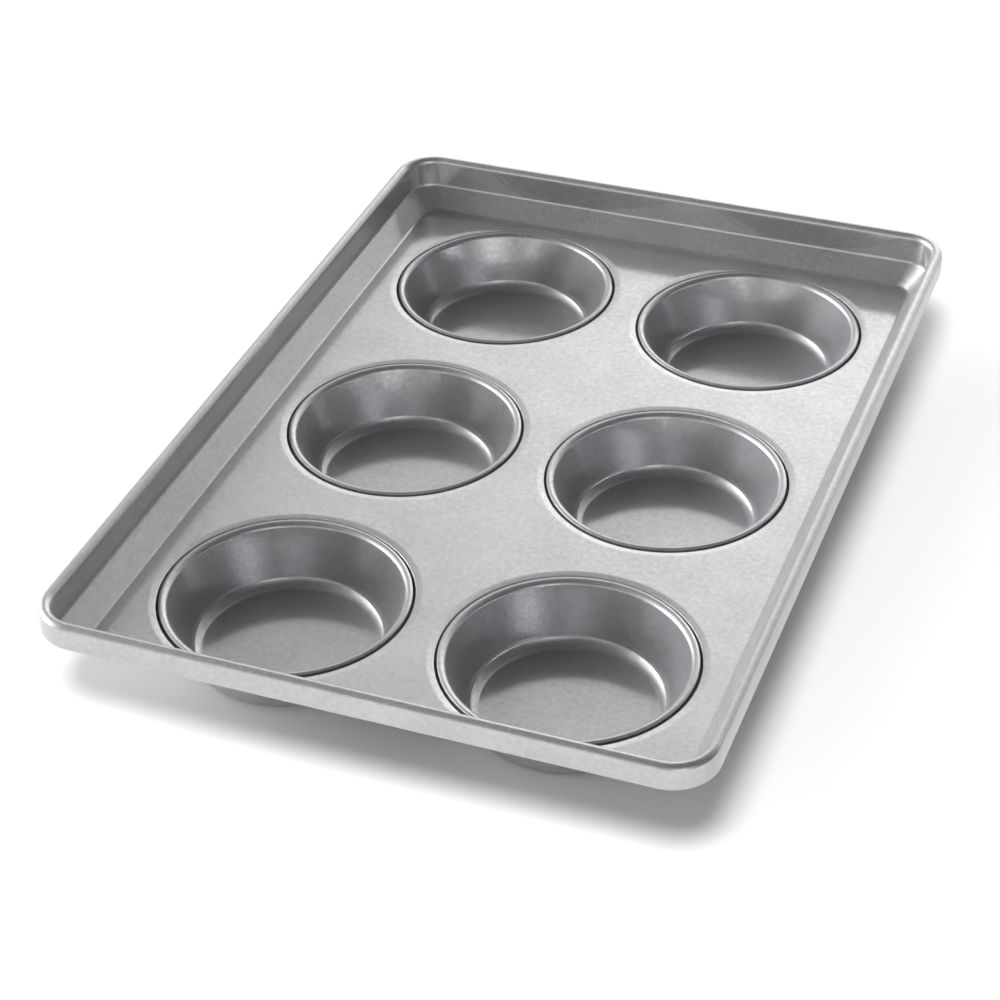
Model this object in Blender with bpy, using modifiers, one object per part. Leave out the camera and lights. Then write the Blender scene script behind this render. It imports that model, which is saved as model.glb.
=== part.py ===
# Hamburger bun pan: a pressed steel frame with six round cups crimped into its floor.
# Built in metres, +Z up, long side along Y, front at -Y, cup undersides on z = 0.

import math

import bmesh
import bpy

MM = 0.001

# Sheet metal and the space left between two pieces that touch.
SHEET = 0.6 * MM
GAP = 0.3 * MM

# Frame, heights measured from the top of its floor.
RIM_ROLL_RADIUS = 3.0 * MM
RIM_ROLL_HEIGHT = 23.1 * MM
SKIRT_BOTTOM_HEIGHT = 13.7 * MM
SKIRT_BEND = 0.8 * MM
SKIRT_RETURN = 2.8 * MM
CREASE_HEIGHT = 9.9 * MM
CREASE_RADIUS = 1.5 * MM
COVE_RADIUS = 8.0 * MM
COVE_ANGLE = 45.0
RIM_CORNER_RADIUS = 21.5 * MM
FLOOR_CORNER_RADIUS = 8.5 * MM

# Flat metal left on the frame's floor between two seams and beside the outer ones.
BRIDGE_X = 18.6 * MM
BRIDGE_Y = 26.6 * MM
SIDE_LEDGE = 9.59 * MM
END_LEDGE = 5.09 * MM

# Cups, heights measured from the top of the frame's floor.
CUP_DEPTH = 29.0 * MM
CUP_TAPER = 9.0 * MM
CUP_FILLET = 7.0 * MM

# Lip, widths measured inwards from the seam.
SEAM_RADIUS = 58.7 * MM
LIP_WIDTH = 4.4 * MM
LIP_INNER_DROP = 1.8 * MM
LIP_FLARE_WIDTH = 3.3 * MM
LIP_FLARE_DROP = 0.2 * MM
LIP_CREST_WIDTH = 1.6 * MM
LIP_CREST_RISE = 0.35 * MM
LIP_SHOULDER_WIDTH = 0.3 * MM
LIP_SHOULDER_DROP = 0.35 * MM
LIP_LEG_DROP = 1.3 * MM

# Crimped seam between a cup and the frame.
HOLE_BEND = 1.0 * MM
HOLE_COLLAR_DEPTH = 3.5 * MM
HOLE_FLANGE = 2.6 * MM

# Stiffening band.
BAND_BUTT_GAP = 0.5 * MM
BAND_EDGE = 0.4 * MM

# Facets.
CUP_FACETS = 32
CORNER_FACETS = 5
ROLL_FACETS = 6
BAND_TOP_FACETS = 4
FILLET_FACETS = 2
CREASE_FACETS = 1
COVE_FACETS = 2
HOLE_BEND_FACETS = 2
SMOOTH_ANGLE = math.radians(38)

# Colours and finish.
SHEET_COLOUR = (0.60, 0.60, 0.61, 1.0)
CUP_COLOUR = (0.56, 0.56, 0.58, 1.0)
BAND_COLOUR = (0.30, 0.30, 0.31, 1.0)
SHEET_ROUGHNESS = 0.30
CUP_ROUGHNESS = 0.26
BAND_ROUGHNESS = 0.50

# The height of the frame's floor above the surface that the cups stand on.
FLOOR_TOP = CUP_DEPTH + SHEET
HOLE_RADIUS = SEAM_RADIUS + GAP

# The pan grows outwards from its cups: seams, bridges, ledges, cove, wall and rim.
CUP_PITCH_X = 2 * SEAM_RADIUS + BRIDGE_X
CUP_PITCH_Y = 2 * SEAM_RADIUS + BRIDGE_Y
COVE_SLOPE = math.radians(COVE_ANGLE)
WALL_INSET = 2 * RIM_ROLL_RADIUS
SLOPE_RUN = CREASE_HEIGHT / math.tan(COVE_SLOPE)
FLAT_INSET = WALL_INSET + SLOPE_RUN + COVE_RADIUS * math.tan(COVE_SLOPE / 2)
PAN_WIDTH = CUP_PITCH_X + 2 * (SEAM_RADIUS + SIDE_LEDGE + FLAT_INSET)
PAN_LENGTH = 2 * (CUP_PITCH_Y + SEAM_RADIUS + END_LEDGE + FLAT_INSET)


def clear_scene():
    for obj in list(bpy.data.objects):
        bpy.data.objects.remove(obj, do_unlink=True)


def metal(name, colour, roughness):
    material = bpy.data.materials.new(name)
    material.use_nodes = True
    shader = material.node_tree.nodes["Principled BSDF"]
    shader.inputs["Base Color"].default_value = colour
    shader.inputs["Metallic"].default_value = 1.0
    shader.inputs["Roughness"].default_value = roughness
    return material


def finish_object(name, mesh, material, collection):
    mesh.materials.append(material)
    mesh.shade_smooth()
    mesh.set_sharp_from_angle(angle=SMOOTH_ANGLE)
    obj = bpy.data.objects.new(name, mesh)
    collection.objects.link(obj)
    return obj


def thicken(obj):
    solidify = obj.modifiers.new("Sheet", "SOLIDIFY")
    solidify.thickness = SHEET
    solidify.offset = -1.0
    solidify.use_even_offset = True
    solidify.use_quality_normals = True


def arc(centre, radius, start, end, steps):
    # Points on an arc in the section plane, angles in degrees, both ends included.
    points = []
    for i in range(steps + 1):
        angle = math.radians(start + (end - start) * i / steps)
        across = centre[0] + radius * math.cos(angle)
        up = centre[1] + radius * math.sin(angle)
        points.append((across, up))
    return points


def rounded_rectangle(inset, height, corner):
    # One ring round the pan, the given distance inside its outer face.
    half_x = PAN_WIDTH / 2 - inset
    half_y = PAN_LENGTH / 2 - inset
    ring = []
    for sign_x, sign_y, start in ((1, 1, 0), (-1, 1, 90), (-1, -1, 180), (1, -1, 270)):
        centre_x = sign_x * (half_x - corner)
        centre_y = sign_y * (half_y - corner)
        for i in range(CORNER_FACETS + 1):
            angle = math.radians(start + 90 * i / CORNER_FACETS)
            x = centre_x + corner * math.cos(angle)
            y = centre_y + corner * math.sin(angle)
            ring.append((x, y, FLOOR_TOP + height))
    return ring


def frame_section():
    # (inset from the outer face, height over the floor), from the skirt's tucked edge to the floor.
    tuck = [(SKIRT_RETURN, SKIRT_BOTTOM_HEIGHT), (SKIRT_BEND, SKIRT_BOTTOM_HEIGHT)]
    skirt = [(0.0, SKIRT_BOTTOM_HEIGHT + SKIRT_BEND)]
    roll = arc((RIM_ROLL_RADIUS, RIM_ROLL_HEIGHT), RIM_ROLL_RADIUS, 180, 0, ROLL_FACETS)
    turn = 270 - COVE_ANGLE
    crease_reach = CREASE_RADIUS * math.tan((math.pi / 2 - COVE_SLOPE) / 2)
    crease_centre = (WALL_INSET + CREASE_RADIUS, CREASE_HEIGHT + crease_reach)
    crease = arc(crease_centre, CREASE_RADIUS, 180, turn, CREASE_FACETS)
    cove = arc((FLAT_INSET, COVE_RADIUS), COVE_RADIUS, turn, 270, COVE_FACETS)
    return tuck + skirt + roll + crease + cove


def frame_corner(inset, height):
    # The corner is concentric down to the crease, then tightens towards the floor.
    concentric = RIM_CORNER_RADIUS - inset
    if inset <= WALL_INSET or height > CREASE_HEIGHT:
        return concentric
    share = (inset - WALL_INSET) / (FLAT_INSET - WALL_INSET)
    wall_corner = RIM_CORNER_RADIUS - WALL_INSET
    return wall_corner + (FLOOR_CORNER_RADIUS - wall_corner) * share


def cup_centres():
    places = {}
    for row, y in (("front", -CUP_PITCH_Y), ("middle", 0.0), ("back", CUP_PITCH_Y)):
        for side, x in (("left", -CUP_PITCH_X / 2), ("right", CUP_PITCH_X / 2)):
            places["cup_" + row + "_" + side] = (x, y)
    return places


def hole_section():
    # (radius, height over the floor) of a hole's turned-down collar and its flange.
    bend = arc((HOLE_RADIUS + HOLE_BEND, -HOLE_BEND), HOLE_BEND, 90, 180, HOLE_BEND_FACETS)
    collar = [(HOLE_RADIUS, -HOLE_COLLAR_DEPTH)]
    flange = [(HOLE_RADIUS + HOLE_FLANGE, -HOLE_COLLAR_DEPTH)]
    return bend + collar + flange


def circle(centre, radius, height):
    ring = []
    for i in range(CUP_FACETS):
        angle = 2 * math.pi * i / CUP_FACETS
        x = centre[0] + radius * math.cos(angle)
        y = centre[1] + radius * math.sin(angle)
        ring.append((x, y, FLOOR_TOP + height))
    return ring


def bridge(bm, rings):
    # Joins rings of equal length with quads and returns the vertices of each ring.
    loops = [[bm.verts.new(point) for point in ring] for ring in rings]
    for first, second in zip(loops[:-1], loops[1:]):
        count = len(first)
        for i in range(count):
            j = (i + 1) % count
            bm.faces.new((first[i], first[j], second[j], second[i]))
    return loops


def ring_edges(bm, loop):
    # The edges that run round one ring.
    edges = []
    for i, vert in enumerate(loop):
        edges.append(bm.edges.get((vert, loop[(i + 1) % len(loop)])))
    return edges


def build_frame(material, collection):
    bm = bmesh.new()
    rings = []
    for inset, height in frame_section():
        rings.append(rounded_rectangle(inset, height, frame_corner(inset, height)))
    wall_loops = bridge(bm, rings)
    floor_edges = ring_edges(bm, wall_loops[-1])
    for centre in cup_centres().values():
        hole_rings = [circle(centre, radius, height) for radius, height in hole_section()]
        hole_loops = bridge(bm, hole_rings)
        floor_edges += ring_edges(bm, hole_loops[0])
    bmesh.ops.triangle_fill(bm, use_beauty=True, use_dissolve=False, edges=floor_edges)
    bmesh.ops.recalc_face_normals(bm, faces=bm.faces)
    mesh = bpy.data.meshes.new("tray_sheet")
    bm.normal_update()
    if max(bm.faces, key=lambda face: face.calc_area()).normal.z < 0:
        bmesh.ops.reverse_faces(bm, faces=bm.faces)
    bm.to_mesh(mesh)
    bm.free()
    frame = finish_object("tray_sheet", mesh, material, collection)
    thicken(frame)
    return frame


def band_section():
    # (inset, height) round the flat band, whose upper edge is rounded to fit the roll.
    half = RIM_ROLL_RADIUS - SHEET - GAP
    middle = RIM_ROLL_RADIUS
    bottom = SKIRT_BOTTOM_HEIGHT + SHEET + GAP
    lower = [
        (middle + half - BAND_EDGE, bottom),
        (middle - half + BAND_EDGE, bottom),
        (middle - half, bottom + BAND_EDGE),
    ]
    upper = arc((middle, RIM_ROLL_HEIGHT), half, 180, 0, BAND_TOP_FACETS)
    side = [(middle + half, bottom + BAND_EDGE)]
    return lower + upper + side


def build_band(material, collection):
    # The section swept round the pan, starting and ending at the butt joint in the back side.
    bm = bmesh.new()
    columns = []
    per_corner = CORNER_FACETS + 1
    for inset, height in band_section():
        ring = rounded_rectangle(inset, height, RIM_CORNER_RADIUS - inset)
        half_y = PAN_LENGTH / 2 - inset
        start = (-BAND_BUTT_GAP / 2, half_y, FLOOR_TOP + height)
        end = (BAND_BUTT_GAP / 2, half_y, FLOOR_TOP + height)
        path = [start] + ring[per_corner:] + ring[:per_corner] + [end]
        columns.append([bm.verts.new(point) for point in path])
    count = len(columns)
    for i in range(count):
        first = columns[i]
        second = columns[(i + 1) % count]
        for j in range(len(first) - 1):
            bm.faces.new((first[j], first[j + 1], second[j + 1], second[j]))
    bm.faces.new([column[0] for column in columns])
    bm.faces.new([column[-1] for column in columns])
    bmesh.ops.recalc_face_normals(bm, faces=bm.faces)
    mesh = bpy.data.meshes.new("rim_band")
    bm.to_mesh(mesh)
    bm.free()
    return finish_object("rim_band", mesh, material, collection)


def cup_section():
    # (radius, height over the floor) from the cup's axis up the wall, over the lip and round the crimp.
    lean = math.degrees(math.atan2(CUP_TAPER, CUP_DEPTH - LIP_INNER_DROP))
    reach = CUP_FILLET * math.tan(math.radians((90 - lean) / 2))
    fillet_radius = SEAM_RADIUS - LIP_WIDTH - CUP_TAPER - reach
    fillet_centre = (fillet_radius, CUP_FILLET - CUP_DEPTH)
    fillet = arc(fillet_centre, CUP_FILLET, 270, 360 - lean, FILLET_FACETS)
    lip = [
        (SEAM_RADIUS - LIP_WIDTH, -LIP_INNER_DROP),
        (SEAM_RADIUS - LIP_FLARE_WIDTH, -LIP_FLARE_DROP),
        (SEAM_RADIUS - LIP_CREST_WIDTH, LIP_CREST_RISE),
        (SEAM_RADIUS - LIP_SHOULDER_WIDTH, -LIP_SHOULDER_DROP),
        (SEAM_RADIUS, -LIP_LEG_DROP),
    ]
    under = -HOLE_COLLAR_DEPTH - GAP
    over = -HOLE_COLLAR_DEPTH + SHEET + GAP
    fold = HOLE_RADIUS + HOLE_FLANGE + GAP
    crimp = [
        (SEAM_RADIUS, under),
        (fold, under),
        (fold, over),
        (HOLE_RADIUS + SHEET + GAP, over),
    ]
    return [(0.0, -CUP_DEPTH)] + fillet + lip + crimp


def build_cup(name, centre, material, collection):
    # The profile is turned about the cup's own axis, then given its sheet thickness.
    mesh = bpy.data.meshes.new(name)
    points = [(radius, 0.0, height) for radius, height in cup_section()]
    edges = [(i, i + 1) for i in range(len(points) - 1)]
    mesh.from_pydata(points, edges, [])
    mesh.materials.append(material)
    obj = bpy.data.objects.new(name, mesh)
    collection.objects.link(obj)
    obj.location = (centre[0], centre[1], FLOOR_TOP)
    screw = obj.modifiers.new("Turn", "SCREW")
    screw.axis = "Z"
    screw.angle = 2 * math.pi
    screw.steps = CUP_FACETS
    screw.render_steps = CUP_FACETS
    screw.use_merge_vertices = True
    screw.merge_threshold = 0.00001
    screw.use_smooth_shade = True
    thicken(obj)
    return obj


def build():
    clear_scene()
    collection = bpy.data.collections.new("hamburger_bun_pan")
    bpy.context.scene.collection.children.link(collection)
    sheet_metal = metal("aluminised_sheet", SHEET_COLOUR, SHEET_ROUGHNESS)
    cup_metal = metal("aluminised_cup", CUP_COLOUR, CUP_ROUGHNESS)
    band_metal = metal("band_steel", BAND_COLOUR, BAND_ROUGHNESS)
    build_frame(sheet_metal, collection)
    build_band(band_metal, collection)
    for name, centre in cup_centres().items():
        build_cup(name, centre, cup_metal, collection)


build()
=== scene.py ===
# Half-size hamburger bun pan in aluminised steel, on a white studio table.

import math

import bmesh
import bpy
from mathutils import Matrix, Vector


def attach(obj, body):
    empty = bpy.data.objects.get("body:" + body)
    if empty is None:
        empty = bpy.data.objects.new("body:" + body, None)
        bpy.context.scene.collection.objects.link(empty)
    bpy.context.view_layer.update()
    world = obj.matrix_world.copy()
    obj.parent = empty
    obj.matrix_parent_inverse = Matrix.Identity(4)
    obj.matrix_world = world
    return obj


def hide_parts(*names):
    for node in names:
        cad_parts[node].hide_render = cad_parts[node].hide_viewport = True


MM = 0.001

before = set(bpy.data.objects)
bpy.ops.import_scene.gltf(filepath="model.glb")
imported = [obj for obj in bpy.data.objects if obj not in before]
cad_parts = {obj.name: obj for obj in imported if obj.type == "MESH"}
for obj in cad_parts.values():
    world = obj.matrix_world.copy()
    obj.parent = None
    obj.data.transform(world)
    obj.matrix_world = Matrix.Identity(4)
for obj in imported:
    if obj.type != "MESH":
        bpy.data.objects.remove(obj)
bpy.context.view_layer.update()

# Sizes of the pan in metres, the same as the solids have.
PAN_WIDTH = 311.0 * MM
PAN_LENGTH = 454.0 * MM
SHEET = 0.6 * MM
RIM_ROLL_RADIUS = 3.0 * MM
RIM_TOP_HEIGHT = 26.1 * MM
SKIRT_BOTTOM_HEIGHT = 13.7 * MM
SKIRT_BEND = 0.8 * MM
SKIRT_RETURN = 2.8 * MM
CREASE_HEIGHT = 9.9 * MM
COVE_SLOPE = math.radians(45.0)
RIM_CORNER_RADIUS = 21.5 * MM
FLOOR_CORNER_RADIUS = 8.5 * MM
CUP_PITCH_X = 136.0 * MM
CUP_PITCH_Y = 144.0 * MM
CUP_DEPTH = 29.0 * MM
CUP_FOOT_RADIUS = 45.3 * MM
CUP_FILLET = 7.0 * MM
GAP = 0.3 * MM
LEDGE = 0.4 * MM
SEAM_RADIUS = 58.7 * MM
HOLE_RADIUS = SEAM_RADIUS + GAP
HOLE_COLLAR_DEPTH = 3.5 * MM
HOLE_FLANGE = 2.6 * MM
FLOOR_TOP = CUP_DEPTH + SHEET
WALL_INSET = 2 * RIM_ROLL_RADIUS

# Bends as the photo shows them: the foot of the slope and the edge of a hole are crisper than the
# solids' and the crease above the slope is softer.
COVE_RADIUS = 2.5 * MM
CREASE_RADIUS = 3.0 * MM
HOLE_BEND = 0.6 * MM

# Round each hole the crimping dies have drawn the floor down a little.
DIP_WIDTH = 3.7 * MM
DIP_DEPTH = 0.4 * MM
DIP_BEND = 6.0 * MM
HOLE_RING_RADIUS = HOLE_RADIUS + DIP_WIDTH + LEDGE

# The cup's rolled lip, rounder than the solids', from the top of the wall over the roll and down into
# the groove. Each corner is its inset from the seam, its height over the floor and its bend radius,
# in millimetres.
LIP_CORNERS = (
    (4.3, 0.45, 3.0),
    (1.9, 0.5, 1.2),
    (0.9, 0.15, 0.35),
    (0.8, -1.0, 0.3),
    (0.8, -2.4, 0.0),
)

# How finely the visible sheets are divided.
CUP_SEGMENTS = 192
CORNER_SEGMENTS = 24
BEND_STEPS = 8
MERGE_DISTANCE = 0.01 * MM
# A ring in the cup's flat foot, which keeps the foot's shading flat up to the bend.
CUP_FLAT_RADIUS = 33.3 * MM
# Added before rounding down, so that a whole number never falls to the one below it.
ROUNDING_GUARD = 0.0001

# The metals' colours.
TRAY_COLOUR = "C2C2C3"
CUP_COLOUR = "BBBCBE"
BAND_COLOUR = "8A8B8D"

# The dip's frozen grain. The real one is about 0.05 mm wide. It is drawn coarser, and is still finer
# than a point of the picture. It turns from matt to smooth where its noise passes the edge.
GRAIN_WIDTH = 0.12 * MM
GRAIN_EDGE = 0.537
GRAIN_EDGE_WIDTH = 0.04
MATT_ROUGHNESS = 0.68
SMOOTH_ROUGHNESS = 0.13

# Faint clouds, where the dip ran thicker or thinner. Their noise lies between low and high. They lift
# or lower the colour by the spread, and where the dip is thicker, a little more of the grain is smooth.
SMALL_CLOUD_WIDTH = 2.5 * MM
LARGE_CLOUD_WIDTH = 25.0 * MM
SMALL_CLOUD_SHARE = 0.7
LARGE_CLOUD_SHARE = 0.3
CLOUD_LOW = 0.3
CLOUD_HIGH = 0.7
CLOUD_SPREAD = 0.09
CLOUD_ON_GRAIN = 0.05

# Orange peel of the pressed sheet, which makes what it mirrors waver a little.
PEEL_WIDTH = 1.5 * MM
PEEL_HEIGHT = 0.0015 * MM

# The strip's mill scale is blotched, and shines unevenly.
MILL_SCALE_WIDTH = 3.0 * MM
MILL_SCALE_SMOOTH = 0.4
MILL_SCALE_DULL = 0.65

# The table's colour, how far it reaches in metres, and how far under the cups' feet it lies, so that
# the two faces don't share a plane.
TABLE_COLOUR = "E1E1E1"
TABLE_REACH = 6.0
TABLE_DROP = 0.02 * MM

# The lamp over the table, in metres and watts.
TABLE_LIGHT_WIDTH = 1.4
TABLE_LIGHT_PLACE = (0.2, -1.5, 3.3)
TABLE_LIGHT_POWER = 128.0

# The colour of the room's light and the strength of its even part. Then where each soft light stands,
# as its turn clockwise from the pan's back and its rise over the table in degrees, how tight it is,
# and its strength.
STUDIO_COLOUR = "FFFFFF"
STUDIO_GREY = 0.11
STUDIO_LIGHTS = (
    (270, 12, 10, 8.5),
    (352, 24, 15, 2.3),
    (20, 12, 9, 1.3),
    (145, 12, 14, 1.9),
    (197, 8, 14, 1.2),
)

# The camera that the photo's rim lines and seam circles ask for. Its place is in millimetres from the
# middle of the tray's floor.
CAMERA_PLACE = (348.41, -947.56, 700.22)
CAMERA_RIGHT = Vector((0.93703605, 0.34877581, -0.01785720))
CAMERA_UP = Vector((-0.19066512, 0.55374950, 0.81056050))
CAMERA_SENSOR = 36.0
CAMERA_LENS = 90.158


def linear(code):
    # An sRGB hex colour as linear values.
    values = []
    for i in (0, 2, 4):
        part = int(code[i:i + 2], 16) / 255
        values.append(part / 12.92 if part <= 0.04045 else ((part + 0.055) / 1.055) ** 2.4)
    return (values[0], values[1], values[2], 1.0)


def add(tree, kind, inputs=None, **settings):
    # Adds one node. Inputs map a socket's name or number to a value, a node or another node's socket.
    node = tree.nodes.new(kind)
    for name, value in settings.items():
        setattr(node, name, value)
    for key, value in (inputs or {}).items():
        if isinstance(value, bpy.types.Node):
            value = value.outputs[0]
        if isinstance(value, bpy.types.NodeSocket):
            tree.links.new(value, node.inputs[key])
        else:
            node.inputs[key].default_value = value
    return node


# Geometry Nodes trees.

def new_tree(name, sizes):
    # A tree with a geometry going in and out and named inputs for its sizes.
    tree = bpy.data.node_groups.new(name, "GeometryNodeTree")
    tree.interface.new_socket("Geometry", in_out="INPUT", socket_type="NodeSocketGeometry")
    for label, kind in sizes:
        tree.interface.new_socket(label, in_out="INPUT", socket_type="NodeSocket" + kind)
    tree.interface.new_socket("Geometry", in_out="OUTPUT", socket_type="NodeSocketGeometry")
    return tree, tree.nodes.new("NodeGroupInput").outputs, tree.nodes.new("NodeGroupOutput")


def finish_tree(tree, geometry, take, result):
    # The last steps of every tree: one real mesh with its metal on it.
    joined = add(tree, "GeometryNodeMergeByDistance", {"Geometry": geometry, "Distance": MERGE_DISTANCE})
    smooth = add(tree, "GeometryNodeSetShadeSmooth", {"Geometry": joined})
    real = add(tree, "GeometryNodeRealizeInstances", {"Geometry": smooth})
    metal = add(tree, "GeometryNodeSetMaterial", {"Geometry": real, "Material": take["Material"]})
    tree.links.new(metal.outputs[0], result.inputs[0])


def section_grid(tree, section, columns):
    # A grid with a row for each point of the section. Gives the grid, the section's point and the
    # column of each vertex, and which vertices lie on the last row.
    size = add(tree, "GeometryNodeAttributeDomainSize", {"Geometry": section}, component="MESH")
    count = size.outputs["Point Count"]
    rows = add(tree, "ShaderNodeMath", {0: count, 1: 1.0}, operation="SUBTRACT")
    wide = add(tree, "ShaderNodeMath", {0: columns, 1: 1.0}, operation="ADD")
    grid = add(tree, "GeometryNodeMeshGrid", {
        "Size X": columns, "Size Y": rows, "Vertices X": wide, "Vertices Y": count,
    })
    index = add(tree, "GeometryNodeInputIndex")
    column = add(tree, "ShaderNodeMath", {0: index, 1: count}, operation="DIVIDE")
    column = add(tree, "ShaderNodeMath", {0: column, 1: ROUNDING_GUARD}, operation="ADD")
    column = add(tree, "ShaderNodeMath", {0: column}, operation="FLOOR")
    passed = add(tree, "ShaderNodeMath", {0: column, 1: count}, operation="MULTIPLY")
    row = add(tree, "ShaderNodeMath", {0: index, 1: passed}, operation="SUBTRACT")
    point = add(tree, "GeometryNodeSampleIndex", {
        "Geometry": section, "Value": add(tree, "GeometryNodeInputPosition"), "Index": row,
    }, data_type="FLOAT_VECTOR", domain="POINT")
    last = add(tree, "ShaderNodeMath", {0: row, 1: rows, 2: 0.5}, operation="COMPARE")
    last = add(tree, "GeometryNodeFieldOnDomain", {0: last}, data_type="BOOLEAN", domain="POINT")
    return grid, add(tree, "ShaderNodeSeparateXYZ", {0: point}).outputs, column, last


def turned_tree():
    # Turns a section, radius along X and height along Z, about an upright axis through the centre.
    sizes = (("Segments", "Int"), ("Centre", "Vector"), ("Material", "Material"))
    tree, take, result = new_tree("turned_sheet", sizes)
    grid, section, column, last = section_grid(tree, take["Geometry"], take["Segments"])
    share = add(tree, "ShaderNodeMath", {0: column, 1: take["Segments"]}, operation="DIVIDE")
    angle = add(tree, "ShaderNodeMath", {0: share, 1: 2 * math.pi}, operation="MULTIPLY")
    cosine = add(tree, "ShaderNodeMath", {0: angle}, operation="COSINE")
    sine = add(tree, "ShaderNodeMath", {0: angle}, operation="SINE")
    across = add(tree, "ShaderNodeMath", {0: section["X"], 1: cosine}, operation="MULTIPLY")
    along = add(tree, "ShaderNodeMath", {0: section["X"], 1: sine}, operation="MULTIPLY")
    turned = add(tree, "ShaderNodeCombineXYZ", {"X": across, "Y": along, "Z": section["Z"]})
    placed = add(tree, "ShaderNodeVectorMath", {0: turned, 1: take["Centre"]}, operation="ADD")
    moved = add(tree, "GeometryNodeSetPosition", {"Geometry": grid, "Position": placed})
    finish_tree(tree, moved, take, result)
    return tree


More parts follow.
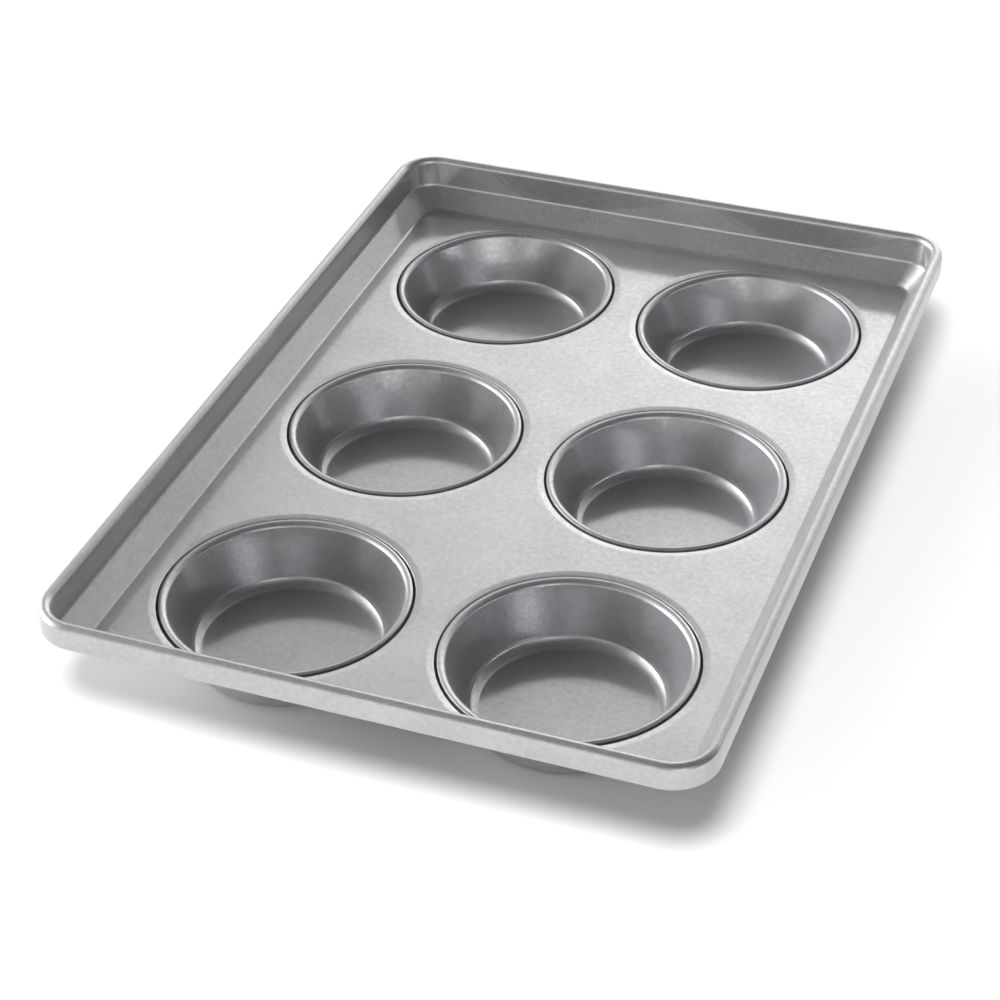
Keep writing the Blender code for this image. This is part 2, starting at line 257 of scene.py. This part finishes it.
def frame_tree(collar_tree):
    # Carries a section, inset along X and height along Z, round a rectangle with rounded corners,
    # and closes it with a floor that has two columns and three rows of round holes.
    sizes = (
        ("Hole Section", "Object"), ("Width", "Float"), ("Length", "Float"),
        ("Wall Inset", "Float"), ("Flat Inset", "Float"), ("Crease Height", "Float"),
        ("Rim Corner Radius", "Float"), ("Floor Corner Radius", "Float"),
        ("Corner Segments", "Int"), ("Floor Height", "Float"), ("Hole Ring Radius", "Float"),
        ("Hole Segments", "Int"), ("Pitch X", "Float"), ("Pitch Y", "Float"), ("Material", "Material"),
    )
    tree, take, result = new_tree("pressed_frame", sizes)
    per_corner = add(tree, "ShaderNodeMath", {0: take["Corner Segments"], 1: 1.0}, operation="ADD")
    columns = add(tree, "ShaderNodeMath", {0: per_corner, 1: 4.0}, operation="MULTIPLY")
    grid, section, column, last = section_grid(tree, take["Geometry"], columns.outputs[0])
    inset = section["X"]
    height = section["Z"]
    # Which corner a column belongs to, and how far round it the column is.
    quarter = add(tree, "ShaderNodeMath", {0: column, 1: per_corner}, operation="DIVIDE")
    quarter = add(tree, "ShaderNodeMath", {0: quarter, 1: ROUNDING_GUARD}, operation="ADD")
    quarter = add(tree, "ShaderNodeMath", {0: quarter}, operation="FLOOR")
    first = add(tree, "ShaderNodeMath", {0: quarter, 1: per_corner}, operation="MULTIPLY")
    step = add(tree, "ShaderNodeMath", {0: column, 1: first}, operation="SUBTRACT")
    step = add(tree, "ShaderNodeMath", {0: step, 1: take["Corner Segments"]}, operation="DIVIDE")
    turn = add(tree, "ShaderNodeMath", {0: quarter, 1: step}, operation="ADD")
    angle = add(tree, "ShaderNodeMath", {0: turn, 1: math.pi / 2}, operation="MULTIPLY")
    middle = add(tree, "ShaderNodeMath", {0: quarter, 1: 0.5}, operation="ADD")
    middle = add(tree, "ShaderNodeMath", {0: middle, 1: math.pi / 2}, operation="MULTIPLY")
    # The corner is concentric with the rim down to the crease, then eases to the floor's own radius.
    outer = take["Rim Corner Radius"]
    concentric = add(tree, "ShaderNodeMath", {0: outer, 1: inset}, operation="SUBTRACT")
    wall_corner = add(tree, "ShaderNodeMath", {0: outer, 1: take["Wall Inset"]}, operation="SUBTRACT")
    eased = add(tree, "ShaderNodeMapRange", {
        "Value": inset, "From Min": take["Wall Inset"], "From Max": take["Flat Inset"],
        "To Min": wall_corner, "To Max": take["Floor Corner Radius"],
    }, clamp=False)
    inside = add(tree, "ShaderNodeMath", {0: inset, 1: take["Wall Inset"]}, operation="GREATER_THAN")
    low = add(tree, "ShaderNodeMath", {0: height, 1: take["Crease Height"]}, operation="LESS_THAN")
    below = add(tree, "ShaderNodeMath", {0: inside, 1: low}, operation="MULTIPLY")
    corner = add(tree, "ShaderNodeMix", {"Factor": below, 2: concentric, 3: eased}, data_type="FLOAT")
    sides = []
    for size, wave in (("Width", "COSINE"), ("Length", "SINE")):
        half = add(tree, "ShaderNodeMath", {0: take[size], 1: 0.5}, operation="MULTIPLY")
        half = add(tree, "ShaderNodeMath", {0: half, 1: inset}, operation="SUBTRACT")
        reach = add(tree, "ShaderNodeMath", {0: half, 1: corner}, operation="SUBTRACT")
        side = add(tree, "ShaderNodeMath", {0: middle}, operation=wave)
        side = add(tree, "ShaderNodeMath", {0: side}, operation="SIGN")
        reach = add(tree, "ShaderNodeMath", {0: reach, 1: side}, operation="MULTIPLY")
        swing = add(tree, "ShaderNodeMath", {0: angle}, operation=wave)
        swing = add(tree, "ShaderNodeMath", {0: swing, 1: corner}, operation="MULTIPLY")
        sides.append(add(tree, "ShaderNodeMath", {0: reach, 1: swing}, operation="ADD"))
    lifted = add(tree, "ShaderNodeMath", {0: height, 1: take["Floor Height"]}, operation="ADD")
    placed = add(tree, "ShaderNodeCombineXYZ", {"X": sides[0], "Y": sides[1], "Z": lifted})
    wall = add(tree, "GeometryNodeSetPosition", {"Geometry": grid, "Position": placed})
    # The floor fills the section's last ring, less one circle for each cup.
    outline = add(tree, "GeometryNodeMeshToCurve", {"Mesh": wall, "Selection": last})
    outline = add(tree, "GeometryNodeSetSplineCyclic", {"Geometry": outline, "Cyclic": True})
    long_pitch = add(tree, "ShaderNodeMath", {0: take["Pitch Y"], 1: 2.0}, operation="MULTIPLY")
    places = add(tree, "GeometryNodeMeshGrid", {
        "Size X": take["Pitch X"], "Size Y": long_pitch, "Vertices X": 2, "Vertices Y": 3,
    })
    circle = add(tree, "GeometryNodeCurvePrimitiveCircle", {
        "Resolution": take["Hole Segments"], "Radius": take["Hole Ring Radius"],
    })
    circles = add(tree, "GeometryNodeInstanceOnPoints", {"Points": places, "Instance": circle})
    circles = add(tree, "GeometryNodeRealizeInstances", {"Geometry": circles})
    edges = add(tree, "GeometryNodeJoinGeometry", {"Geometry": outline})
    tree.links.new(circles.outputs[0], edges.inputs[0])
    floor = add(tree, "GeometryNodeFillCurve", {"Curve": edges})
    rise = add(tree, "ShaderNodeCombineXYZ", {"Z": take["Floor Height"]})
    floor = add(tree, "GeometryNodeSetPosition", {"Geometry": floor, "Offset": rise})
    drawn = add(tree, "GeometryNodeObjectInfo", {"Object": take["Hole Section"]})
    collar = add(tree, "GeometryNodeGroup", node_tree=collar_tree)
    tree.links.new(drawn.outputs["Geometry"], collar.inputs["Geometry"])
    tree.links.new(take["Hole Segments"], collar.inputs["Segments"])
    tree.links.new(take["Material"], collar.inputs["Material"])
    collars = add(tree, "GeometryNodeInstanceOnPoints", {"Points": places, "Instance": collar})
    collars = add(tree, "GeometryNodeRealizeInstances", {"Geometry": collars})
    collars = add(tree, "GeometryNodeSetPosition", {"Geometry": collars, "Offset": rise})
    whole = add(tree, "GeometryNodeJoinGeometry", {"Geometry": wall})
    tree.links.new(floor.outputs[0], whole.inputs[0])
    tree.links.new(collars.outputs[0], whole.inputs[0])
    finish_tree(tree, whole, take, result)
    return tree


# Sections and pieces.

def rounded(corners):
    # A section's points: each corner is (across, up, bend radius), and a bend is cut into steps.
    points = []
    for i, (x, z, radius) in enumerate(corners):
        here = Vector((x, z))
        if radius == 0 or i in (0, len(corners) - 1):
            points.append(here)
            continue
        before = (Vector(corners[i - 1][:2]) - here).normalized()
        after = (Vector(corners[i + 1][:2]) - here).normalized()
        half = before.angle(after) / 2
        centre = here + (before + after).normalized() * radius / math.sin(half)
        start = here + before * radius / math.tan(half) - centre
        sweep = (math.pi - 2 * half) * (1 if before.cross(after) < 0 else -1)
        for step in range(BEND_STEPS + 1):
            points.append(centre + Matrix.Rotation(sweep * step / BEND_STEPS, 2) @ start)
    return points


def drawn_line(name, points):
    # A section as an object: a line of points in the XZ plane.
    mesh = bpy.data.meshes.new(name)
    edges = [(i, i + 1) for i in range(len(points) - 1)]
    mesh.from_pydata([(point.x, 0.0, point.y) for point in points], edges, [])
    obj = bpy.data.objects.new(name, mesh)
    bpy.context.scene.collection.objects.link(obj)
    return obj


def plain_mesh(obj):
    # The evaluated shape takes the place of the object's own mesh and modifiers.
    bpy.context.view_layer.update()
    graph = bpy.context.evaluated_depsgraph_get()
    mesh = bpy.data.meshes.new_from_object(obj.evaluated_get(graph), depsgraph=graph)
    obj.modifiers.clear()
    obj.data = mesh
    mesh.name = obj.name


def shaped(obj, tree, values):
    # Runs a tree on the object and keeps the result as a plain mesh with its upper side facing up.
    modifier = obj.modifiers.new("Shape", "NODES")
    modifier.node_group = tree
    sockets = {item.name: item.identifier for item in tree.interface.items_tree if item.in_out == "INPUT"}
    for label, value in values.items():
        modifier[sockets[label]] = value
    plain_mesh(obj)
    bm = bmesh.new()
    bm.from_mesh(obj.data)
    bmesh.ops.recalc_face_normals(bm, faces=bm.faces)
    widest = max(bm.faces, key=lambda face: face.calc_area())
    if widest.normal.z < 0:
        bmesh.ops.reverse_faces(bm, faces=bm.faces)
    bm.to_mesh(obj.data)
    bm.free()


def thickened(obj):
    # Gives the sheet its thickness on the under and outer side.
    solidify = obj.modifiers.new("Sheet", "SOLIDIFY")
    solidify.thickness = SHEET
    solidify.offset = -1.0
    solidify.use_even_offset = True
    solidify.use_quality_normals = True
    plain_mesh(obj)


def slope_foot():
    # Where the slope would meet the floor without its bend.
    return WALL_INSET + CREASE_HEIGHT / math.tan(COVE_SLOPE)


def flat_inset():
    # Where the bend at the slope's foot has run out and the floor lies flat.
    return slope_foot() + COVE_RADIUS * math.tan(COVE_SLOPE / 2)


def frame_section():
    # From the tucked lower edge of the skirt up, over the rolled rim, and down to the floor.
    return rounded((
        (SKIRT_RETURN, SKIRT_BOTTOM_HEIGHT, 0),
        (0.0, SKIRT_BOTTOM_HEIGHT, SKIRT_BEND),
        (0.0, RIM_TOP_HEIGHT, RIM_ROLL_RADIUS),
        (WALL_INSET, RIM_TOP_HEIGHT, RIM_ROLL_RADIUS),
        (WALL_INSET, CREASE_HEIGHT, CREASE_RADIUS),
        (slope_foot(), 0.0, COVE_RADIUS),
        (flat_inset() + LEDGE, 0.0, 0),
    ))


def hole_section():
    # From the flat floor through the dip, down the collar and out into the fold under the floor.
    dip_start = HOLE_RADIUS + DIP_WIDTH - DIP_BEND * DIP_DEPTH / DIP_WIDTH / 2
    return rounded((
        (HOLE_RING_RADIUS, 0.0, 0),
        (dip_start, 0.0, DIP_BEND),
        (HOLE_RADIUS, -DIP_DEPTH, HOLE_BEND),
        (HOLE_RADIUS, -HOLE_COLLAR_DEPTH, GAP),
        (HOLE_RADIUS + HOLE_FLANGE, -HOLE_COLLAR_DEPTH, 0),
    ))


def cup_section():
    # From the middle of the floor up the wall, over the lip, and round the frame's fold.
    under = -HOLE_COLLAR_DEPTH - GAP
    over = -HOLE_COLLAR_DEPTH + SHEET + GAP
    fold = HOLE_RADIUS + HOLE_FLANGE + GAP
    lip = [(SEAM_RADIUS - inset * MM, height * MM, bend * MM) for inset, height, bend in LIP_CORNERS]
    return rounded((
        (0.0, -CUP_DEPTH, 0),
        (CUP_FLAT_RADIUS, -CUP_DEPTH, 0),
        (CUP_FOOT_RADIUS, -CUP_DEPTH, CUP_FILLET),
        *lip,
        (SEAM_RADIUS, under, 0),
        (fold, under, 0),
        (fold, over, 0),
        (HOLE_RADIUS + SHEET + GAP, over, 0),
    ))


# Metals.

def new_material(name, metallic):
    # Starts a material, and gives it with its tree and its shader.
    material = bpy.data.materials.new(name)
    material.use_nodes = True
    tree = material.node_tree
    shader = tree.nodes["Principled BSDF"]
    shader.inputs["Metallic"].default_value = metallic
    return material, tree, shader


def aluminised_steel(name, colour):
    # Cold-rolled steel hot-dipped in aluminium, pressed, then baked with a clear release glaze. The dip
    # freezes as a fine grain: most of it is matt and spreads the light wide, and between it lie smooth
    # flats that mirror the studio, so the sheet looks satin and yet shows its own walls in its floor.
    metal, tree, shader = new_material(name, 1.0)
    place = add(tree, "ShaderNodeTexCoord").outputs["Object"]
    grain = add(tree, "ShaderNodeTexNoise", {"Vector": place, "Scale": 1 / GRAIN_WIDTH, "Detail": 0.0})
    small = add(tree, "ShaderNodeTexNoise", {
        "Vector": place, "Scale": 1 / SMALL_CLOUD_WIDTH, "Detail": 3.0,
    })
    large = add(tree, "ShaderNodeTexNoise", {
        "Vector": place, "Scale": 1 / LARGE_CLOUD_WIDTH, "Detail": 0.0,
    })
    cloud = add(tree, "ShaderNodeMath", {0: small, 1: SMALL_CLOUD_SHARE}, operation="MULTIPLY")
    cloud = add(tree, "ShaderNodeMath", {
        0: large, 1: LARGE_CLOUD_SHARE, 2: cloud,
    }, operation="MULTIPLY_ADD")
    tone = add(tree, "ShaderNodeMapRange", {
        "Value": cloud, "From Min": CLOUD_LOW, "From Max": CLOUD_HIGH,
        "To Min": 1 - CLOUD_SPREAD, "To Max": 1 + CLOUD_SPREAD,
    })
    tinted = add(tree, "ShaderNodeVectorMath", {0: linear(colour)[:3], "Scale": tone}, operation="SCALE")
    tree.links.new(tinted.outputs[0], shader.inputs["Base Color"])
    grain = add(tree, "ShaderNodeMath", {
        0: small, 1: CLOUD_ON_GRAIN, 2: grain,
    }, operation="MULTIPLY_ADD")
    gloss = add(tree, "ShaderNodeMapRange", {
        "Value": grain,
        "From Min": GRAIN_EDGE - GRAIN_EDGE_WIDTH / 2,
        "From Max": GRAIN_EDGE + GRAIN_EDGE_WIDTH / 2,
        "To Min": MATT_ROUGHNESS, "To Max": SMOOTH_ROUGHNESS,
    })
    tree.links.new(gloss.outputs[0], shader.inputs["Roughness"])
    peel = add(tree, "ShaderNodeTexNoise", {"Vector": place, "Scale": 1 / PEEL_WIDTH, "Detail": 1.0})
    bump = add(tree, "ShaderNodeBump", {"Strength": 1.0, "Distance": PEEL_HEIGHT, "Height": peel})
    tree.links.new(bump.outputs[0], shader.inputs["Normal"])
    return metal


def strip_steel(name, colour):
    # Mild steel strip with its mill scale on, dull and dark, hidden in the rim.
    metal, tree, shader = new_material(name, 1.0)
    shader.inputs["Base Color"].default_value = linear(colour)
    place = add(tree, "ShaderNodeTexCoord").outputs["Object"]
    scale = add(tree, "ShaderNodeTexNoise", {
        "Vector": place, "Scale": 1 / MILL_SCALE_WIDTH, "Detail": 4.0,
    })
    gloss = add(tree, "ShaderNodeMapRange", {
        "Value": scale, "To Min": MILL_SCALE_SMOOTH, "To Max": MILL_SCALE_DULL,
    })
    tree.links.new(gloss.outputs[0], shader.inputs["Roughness"])
    return metal


tray_metal = aluminised_steel("glazed_aluminised_sheet", TRAY_COLOUR)
cup_metal = aluminised_steel("glazed_aluminised_cup", CUP_COLOUR)
band_metal = strip_steel("mild_steel_strip", BAND_COLOUR)

turned = turned_tree()
pressed = frame_tree(turned)

# The pressed tray.
hole_line = drawn_line("hole_section", hole_section())
tray = drawn_line("tray", frame_section())
shaped(tray, pressed, {
    "Hole Section": hole_line, "Width": PAN_WIDTH, "Length": PAN_LENGTH,
    "Wall Inset": WALL_INSET, "Flat Inset": flat_inset(), "Crease Height": CREASE_HEIGHT + CREASE_RADIUS,
    "Rim Corner Radius": RIM_CORNER_RADIUS, "Floor Corner Radius": FLOOR_CORNER_RADIUS,
    "Corner Segments": CORNER_SEGMENTS, "Floor Height": FLOOR_TOP,
    "Hole Ring Radius": HOLE_RING_RADIUS, "Hole Segments": CUP_SEGMENTS,
    "Pitch X": CUP_PITCH_X, "Pitch Y": CUP_PITCH_Y, "Material": tray_metal,
})
bpy.data.objects.remove(hole_line)
thickened(tray)
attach(tray, "root")
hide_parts("tray_sheet")

# The six cups.
for row, y in (("front", -CUP_PITCH_Y), ("middle", 0.0), ("back", CUP_PITCH_Y)):
    for side, x in (("left", -CUP_PITCH_X / 2), ("right", CUP_PITCH_X / 2)):
        cup = drawn_line("bun_cup_" + row + "_" + side, cup_section())
        shaped(cup, turned, {"Segments": CUP_SEGMENTS, "Centre": (x, y, FLOOR_TOP), "Material": cup_metal})
        thickened(cup)
        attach(cup, "root")
        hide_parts("cup_" + row + "_" + side)

# The band in the rim keeps its own solid.
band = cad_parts["rim_band"]
band.data.materials.clear()
band.data.materials.append(band_metal)


# Table, light and camera.

def table():
    # A matt white table top, which the lamp over it lights to white beside the pan.
    mesh = bpy.data.meshes.new("table")
    sides = ((-1, -1), (1, -1), (1, 1), (-1, 1))
    corners = [(x * TABLE_REACH, y * TABLE_REACH, -TABLE_DROP) for x, y in sides]
    mesh.from_pydata(corners, [], [(0, 1, 2, 3)])
    obj = bpy.data.objects.new("table", mesh)
    bpy.context.scene.collection.objects.link(obj)
    material, tree, shader = new_material("matt_white_table_top", 0.0)
    shader.inputs["Base Color"].default_value = linear(TABLE_COLOUR)
    shader.inputs["Roughness"].default_value = 1.0
    shader.inputs["Specular IOR Level"].default_value = 0.0
    mesh.materials.append(material)
    return obj


def table_light(lit_object):
    # A soft lamp over the table, a little to the front. It lights only the table, and the pan keeps
    # its shadow there.
    light = bpy.data.lights.new("table_light", "AREA")
    light.shape = "DISK"
    light.size = TABLE_LIGHT_WIDTH
    light.energy = TABLE_LIGHT_POWER
    obj = bpy.data.objects.new("table_light", light)
    bpy.context.scene.collection.objects.link(obj)
    obj.location = TABLE_LIGHT_PLACE
    obj.rotation_euler = Vector(TABLE_LIGHT_PLACE).to_track_quat("Z", "Y").to_euler()
    lit = bpy.data.collections.new("lit_by_table_light")
    lit.objects.link(lit_object)
    obj.light_linking.receiver_collection = lit


def studio():
    # The room round the table: an even grey, with large soft lights that fade out into it.
    world = bpy.data.worlds.new("studio")
    bpy.context.scene.world = world
    world.use_nodes = True
    tree = world.node_tree
    place = add(tree, "ShaderNodeTexCoord").outputs["Generated"]
    total = STUDIO_GREY
    for turn, rise, tightness, strength in STUDIO_LIGHTS:
        flat = math.cos(math.radians(rise))
        side = math.sin(math.radians(turn)) * flat
        deep = math.cos(math.radians(turn)) * flat
        towards = (side, deep, math.sin(math.radians(rise)))
        near = add(tree, "ShaderNodeVectorMath", {0: place, 1: towards}, operation="DOT_PRODUCT")
        near = near.outputs["Value"]
        fall = add(tree, "ShaderNodeMath", {0: near, 1: tightness, 2: -tightness}, operation="MULTIPLY_ADD")
        glow = add(tree, "ShaderNodeMath", {0: fall}, operation="EXPONENT")
        total = add(tree, "ShaderNodeMath", {0: glow, 1: strength, 2: total}, operation="MULTIPLY_ADD")
    background = tree.nodes["Background"]
    background.inputs["Color"].default_value = linear(STUDIO_COLOUR)
    tree.links.new(total.outputs[0], background.inputs["Strength"])


def photo_camera():
    # A camera looks along its own negative Z, so its third axis points back towards it.
    lens = bpy.data.cameras.new("camera")
    lens.sensor_width = CAMERA_SENSOR
    lens.lens = CAMERA_LENS
    camera = bpy.data.objects.new("camera", lens)
    bpy.context.scene.collection.objects.link(camera)
    place = Vector(CAMERA_PLACE) * MM + Vector((0, 0, FLOOR_TOP))
    backwards = CAMERA_RIGHT.cross(CAMERA_UP)
    facing = Matrix((CAMERA_RIGHT, CAMERA_UP, backwards)).transposed()
    camera.matrix_world = Matrix.Translation(place) @ facing.to_4x4()
    bpy.context.scene.camera = camera


table_light(table())
studio()
photo_camera()

bpy.context.scene.view_settings.view_transform = "Standard"
